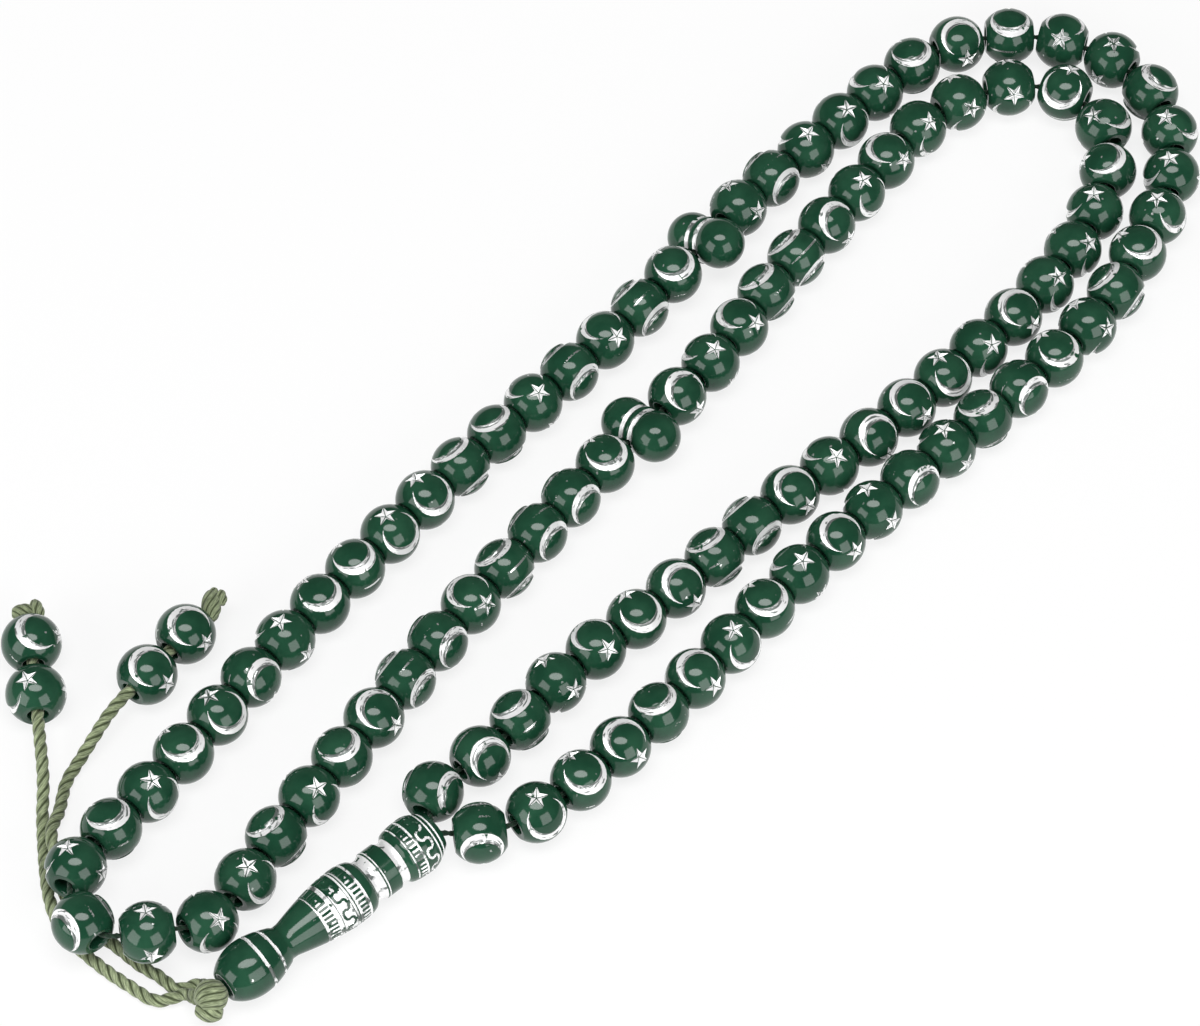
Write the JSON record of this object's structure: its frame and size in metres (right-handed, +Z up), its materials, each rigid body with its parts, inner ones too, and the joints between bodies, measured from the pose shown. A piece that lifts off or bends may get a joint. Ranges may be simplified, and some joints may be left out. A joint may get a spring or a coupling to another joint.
{
  "type": "misbaha prayer beads",
  "caption": "Misbaha prayer beads: a looped string of bored beads in groups parted by dumbbell markers, with a turned imame and two knotted tail cords.",
  "frame": {"origin": "centre of the strand and imame on the table they lie on, without the two tails", "axes": "+X along the folded strand from the imame end to the far end, +Z up from the table"},
  "size_m": [0.2049, 0.0765, 0.0102],
  "materials": {
    "bead_plastic": "glossy moulded plastic, bottle green",
    "cord": "twisted cord, olive green"
  },
  "bodies": {
    "strand": {"string_run_1": "bead_plastic", "string_run_2": "bead_plastic", "string_run_3": "bead_plastic", "string_run_4": "bead_plastic", "string_run_5": "bead_plastic", "string_run_6": "bead_plastic", "foot_knot": "cord", "tail_cord_left": "cord", "tail_cord_right": "cord", "end_knot_left": "cord", "end_knot_right": "cord"},
    "bead_02": {"bead_02": "bead_plastic"},
    "bead_04": {"bead_04": "bead_plastic"},
    "bead_06": {"bead_06": "bead_plastic"},
    "bead_08": {"bead_08": "bead_plastic"},
    "bead_10": {"bead_10": "bead_plastic"},
    "bead_12": {"bead_12": "bead_plastic"},
    "bead_14": {"bead_14": "bead_plastic"},
    "bead_19": {"bead_19": "bead_plastic"},
    "bead_21": {"bead_21": "bead_plastic"},
    "bead_23": {"bead_23": "bead_plastic"},
    "bead_25": {"bead_25": "bead_plastic"},
    "bead_27": {"bead_27": "bead_plastic"},
    "bead_29": {"bead_29": "bead_plastic"},
    "bead_31": {"bead_31": "bead_plastic"},
    "bead_35": {"bead_35": "bead_plastic"},
    "bead_37": {"bead_37": "bead_plastic"},
    "bead_39": {"bead_39": "bead_plastic"},
    "bead_41": {"bead_41": "bead_plastic"},
    "bead_43": {"bead_43": "bead_plastic"},
    "bead_45": {"bead_45": "bead_plastic"},
    "bead_47": {"bead_47": "bead_plastic"},
    "bead_52": {"bead_52": "bead_plastic"},
    "bead_54": {"bead_54": "bead_plastic"},
    "bead_56": {"bead_56": "bead_plastic"},
    "bead_58": {"bead_58": "bead_plastic"},
    "bead_60": {"bead_60": "bead_plastic"},
    "bead_62": {"bead_62": "bead_plastic"},
    "bead_64": {"bead_64": "bead_plastic"},
    "bead_68": {"bead_68": "bead_plastic"},
    "bead_70": {"bead_70": "bead_plastic"},
    "bead_72": {"bead_72": "bead_plastic"},
    "bead_74": {"bead_74": "bead_plastic"},
    "bead_76": {"bead_76": "bead_plastic"},
    "bead_78": {"bead_78": "bead_plastic"},
    "bead_80": {"bead_80": "bead_plastic"},
    "bead_85": {"bead_85": "bead_plastic"},
    "bead_87": {"bead_87": "bead_plastic"},
    "bead_89": {"bead_89": "bead_plastic"},
    "bead_91": {"bead_91": "bead_plastic"},
    "bead_93": {"bead_93": "bead_plastic"},
    "bead_95": {"bead_95": "bead_plastic"},
    "bead_97": {"bead_97": "bead_plastic"},
    "marker_1": {"marker_1": "bead_plastic"},
    "marker_2": {"marker_2": "bead_plastic"},
    "imame": {"imame": "bead_plastic"},
    "tail_bead_left_inner": {"tail_bead_left_inner": "bead_plastic"},
    "tail_bead_left_outer": {"tail_bead_left_outer": "bead_plastic"},
    "tail_bead_right_inner": {"tail_bead_right_inner": "bead_plastic"},
    "tail_bead_right_outer": {"tail_bead_right_outer": "bead_plastic"}
  },
  "joints": [
    {"name": "marker_1_turn", "type": "hinge", "parent": "strand", "child": "marker_1", "pos_m": [0.03456, 0.02316, 0.00473], "axis": [-0.9932, -0.116, 0.0104], "continuous": true},
    {"name": "marker_2_turn", "type": "hinge", "parent": "strand", "child": "marker_2", "pos_m": [0.0058, 0.00733, 0.00425], "axis": [0.9983, 0.0588, -0.0003], "continuous": true},
    {"name": "imame_turn", "type": "hinge", "parent": "strand", "child": "imame", "pos_m": [-0.09122, -0.01551, 0.004], "axis": [0.9977, -0.068, 0], "continuous": true},
    {"name": "tail_bead_left_inner_slide", "type": "slide", "parent": "strand", "child": "tail_bead_left_inner", "axis": [-0.6018, -0.7986, 0], "range_m": [0, 0.004]},
    {"name": "tail_bead_left_outer_turn", "type": "hinge", "parent": "strand", "child": "tail_bead_left_outer", "pos_m": [-0.07468, 0.03977, 0.004], "axis": [0.6018, 0.7986, 0], "continuous": true},
    {"name": "tail_bead_right_inner_slide", "type": "slide", "parent": "strand", "child": "tail_bead_right_inner", "axis": [-0.9903, -0.1392, 0], "range_m": [0, 0.004]},
    {"name": "tail_bead_right_outer_turn", "type": "hinge", "parent": "strand", "child": "tail_bead_right_outer", "pos_m": [-0.05943, 0.02659, 0.004], "axis": [0.9903, 0.1392, 0], "continuous": true},
    {"name": "bead_02_turn", "type": "hinge", "parent": "strand", "child": "bead_02", "pos_m": [-0.04593, -0.02512, 0.004], "axis": [0.9837, -0.1801, 0], "continuous": true},
    {"name": "bead_04_turn", "type": "hinge", "parent": "strand", "child": "bead_04", "pos_m": [-0.03141, -0.02583, 0.004], "axis": [1, 0.0086, 0], "continuous": true},
    {"name": "bead_06_turn", "type": "hinge", "parent": "strand", "child": "bead_06", "pos_m": [-0.01716, -0.02538, 0.004], "axis": [0.9986, 0.0529, 0], "continuous": true},
    {"name": "bead_08_turn", "type": "hinge", "parent": "strand", "child": "bead_08", "pos_m": [-0.00296, -0.02426, 0.004], "axis": [0.9958, 0.0911, 0], "continuous": true},
    {"name": "bead_10_turn", "type": "hinge", "parent": "strand", "child": "bead_10", "pos_m": [0.01137, -0.02354, 0.004], "axis": [1, 0.003, 0], "continuous": true},
    {"name": "bead_12_turn", "type": "hinge", "parent": "strand", "child": "bead_12", "pos_m": [0.02557, -0.02369, 0.004], "axis": [0.9999, -0.0133, 0], "continuous": true},
    {"name": "bead_14_turn", "type": "hinge", "parent": "strand", "child": "bead_14", "pos_m": [0.03977, -0.0239, 0.004], "axis": [0.9999, -0.0155, 0], "continuous": true},
    {"name": "bead_19_turn", "type": "hinge", "parent": "strand", "child": "bead_19", "pos_m": [0.07543, -0.02014, 0.004], "axis": [0.9452, 0.3266, 0], "continuous": true},
    {"name": "bead_21_turn", "type": "hinge", "parent": "strand", "child": "bead_21", "pos_m": [0.08891, -0.01448, 0.004], "axis": [0.8281, 0.5606, 0], "continuous": true},
    {"name": "bead_23_turn", "type": "hinge", "parent": "strand", "child": "bead_23", "pos_m": [0.09802, -0.00251, 0.004], "axis": [0.2906, 0.9569, 0], "continuous": true},
    {"name": "bead_25_turn", "type": "hinge", "parent": "strand", "child": "bead_25", "pos_m": [0.09611, 0.01246, 0.004], "axis": [-0.4788, 0.8779, 0], "continuous": true},
    {"name": "bead_27_turn", "type": "hinge", "parent": "strand", "child": "bead_27", "pos_m": [0.08513, 0.0227, 0.004], "axis": [-0.9136, 0.4067, 0], "continuous": true},
    {"name": "bead_29_turn", "type": "hinge", "parent": "strand", "child": "bead_29", "pos_m": [0.07047, 0.0249, 0.004], "axis": [-1, 0.0096, 0], "continuous": true},
    {"name": "bead_31_turn", "type": "hinge", "parent": "strand", "child": "bead_31", "pos_m": [0.05622, 0.02477, 0.00402], "axis": [-0.9999, -0.0083, 0.0073], "continuous": true},
    {"name": "bead_35_turn", "type": "hinge", "parent": "strand", "child": "bead_35", "pos_m": [0.02014, 0.02175, 0.00424], "axis": [-0.9964, -0.0729, -0.0426], "continuous": true},
    {"name": "bead_37_turn", "type": "hinge", "parent": "strand", "child": "bead_37", "pos_m": [0.00586, 0.02102, 0.004], "axis": [-0.9995, -0.0305, -0.0013], "continuous": true},
    {"name": "bead_39_turn", "type": "hinge", "parent": "strand", "child": "bead_39", "pos_m": [-0.00834, 0.02065, 0.004], "axis": [-0.9993, -0.0382, 0], "continuous": true},
    {"name": "bead_41_turn", "type": "hinge", "parent": "strand", "child": "bead_41", "pos_m": [-0.02256, 0.01973, 0.004], "axis": [-0.9963, -0.0857, 0], "continuous": true},
    {"name": "bead_43_turn", "type": "hinge", "parent": "strand", "child": "bead_43", "pos_m": [-0.03669, 0.01835, 0.004], "axis": [-0.9944, -0.1053, -0.0002], "continuous": true},
    {"name": "bead_45_turn", "type": "hinge", "parent": "strand", "child": "bead_45", "pos_m": [-0.05085, 0.0167, 0.004], "axis": [-0.9909, -0.1348, 0], "continuous": true},
    {"name": "bead_47_turn", "type": "hinge", "parent": "strand", "child": "bead_47", "pos_m": [-0.06491, 0.01444, 0.00401], "axis": [-0.9857, -0.1686, -0.0031], "continuous": true},
    {"name": "bead_52_turn", "type": "hinge", "parent": "strand", "child": "bead_52", "pos_m": [-0.09837, 0.00279, 0.00612], "axis": [-0.0823, -0.9964, -0.0198], "continuous": true},
    {"name": "bead_54_turn", "type": "hinge", "parent": "strand", "child": "bead_54", "pos_m": [-0.08675, -0.00757, 0.00482], "axis": [0.9579, -0.1963, -0.2093], "continuous": true},
    {"name": "bead_56_turn", "type": "hinge", "parent": "strand", "child": "bead_56", "pos_m": [-0.0719, -0.00419, 0.004], "axis": [0.9776, 0.2103, 0], "continuous": true},
    {"name": "bead_58_turn", "type": "hinge", "parent": "strand", "child": "bead_58", "pos_m": [-0.05785, -0.00154, 0.00402], "axis": [0.9818, 0.1898, -0.001], "continuous": true},
    {"name": "bead_60_turn", "type": "hinge", "parent": "strand", "child": "bead_60", "pos_m": [-0.04389, 0.00119, 0.004], "axis": [0.9823, 0.1873, 0], "continuous": true},
    {"name": "bead_62_turn", "type": "hinge", "parent": "strand", "child": "bead_62", "pos_m": [-0.02979, 0.00352, 0.004], "axis": [0.9906, 0.1365, 0], "continuous": true},
    {"name": "bead_64_turn", "type": "hinge", "parent": "strand", "child": "bead_64", "pos_m": [-0.0157, 0.00532, 0.00408], "axis": [0.9926, 0.1205, 0.0162], "continuous": true},
    {"name": "bead_68_turn", "type": "hinge", "parent": "strand", "child": "bead_68", "pos_m": [0.02036, 0.00845, 0.00421], "axis": [0.9888, 0.1491, -0.0101], "continuous": true},
    {"name": "bead_70_turn", "type": "hinge", "parent": "strand", "child": "bead_70", "pos_m": [0.03443, 0.01149, 0.004], "axis": [0.9795, 0.2012, -0.0097], "continuous": true},
    {"name": "bead_72_turn", "type": "hinge", "parent": "strand", "child": "bead_72", "pos_m": [0.04863, 0.01355, 0.004], "axis": [0.9924, 0.1233, 0], "continuous": true},
    {"name": "bead_74_turn", "type": "hinge", "parent": "strand", "child": "bead_74", "pos_m": [0.06271, 0.01546, 0.004], "axis": [0.9907, 0.1364, -0.0005], "continuous": true},
    {"name": "bead_76_turn", "type": "hinge", "parent": "strand", "child": "bead_76", "pos_m": [0.07753, 0.01537, 0.004], "axis": [0.9687, -0.2481, 0], "continuous": true},
    {"name": "bead_78_turn", "type": "hinge", "parent": "strand", "child": "bead_78", "pos_m": [0.08947, 0.00595, 0.004], "axis": [0.3099, -0.9508, 0], "continuous": true},
    {"name": "bead_80_turn", "type": "hinge", "parent": "strand", "child": "bead_80", "pos_m": [0.08326, -0.00768, 0.004], "axis": [-0.8259, -0.5638, 0], "continuous": true},
    {"name": "bead_85_turn", "type": "hinge", "parent": "strand", "child": "bead_85", "pos_m": [0.04804, -0.01553, 0.004], "axis": [-1, -0.0051, 0], "continuous": true},
    {"name": "bead_87_turn", "type": "hinge", "parent": "strand", "child": "bead_87", "pos_m": [0.03384, -0.01539, 0.004], "axis": [-0.9997, 0.0232, 0], "continuous": true},
    {"name": "bead_89_turn", "type": "hinge", "parent": "strand", "child": "bead_89", "pos_m": [0.01956, -0.01458, 0.004], "axis": [-0.9968, 0.0801, 0], "continuous": true},
    {"name": "bead_91_turn", "type": "hinge", "parent": "strand", "child": "bead_91", "pos_m": [0.00528, -0.01393, 0.004], "axis": [-1, 0.0066, 0], "continuous": true},
    {"name": "bead_93_turn", "type": "hinge", "parent": "strand", "child": "bead_93", "pos_m": [-0.00896, -0.01378, 0.004], "axis": [-0.9995, 0.0303, 0], "continuous": true},
    {"name": "bead_95_turn", "type": "hinge", "parent": "strand", "child": "bead_95", "pos_m": [-0.02314, -0.01307, 0.004], "axis": [-0.9988, 0.0489, 0], "continuous": true},
    {"name": "bead_97_turn", "type": "hinge", "parent": "strand", "child": "bead_97", "pos_m": [-0.03769, -0.01376, 0.004], "axis": [-0.9928, -0.1199, 0], "continuous": true}
  ]
}
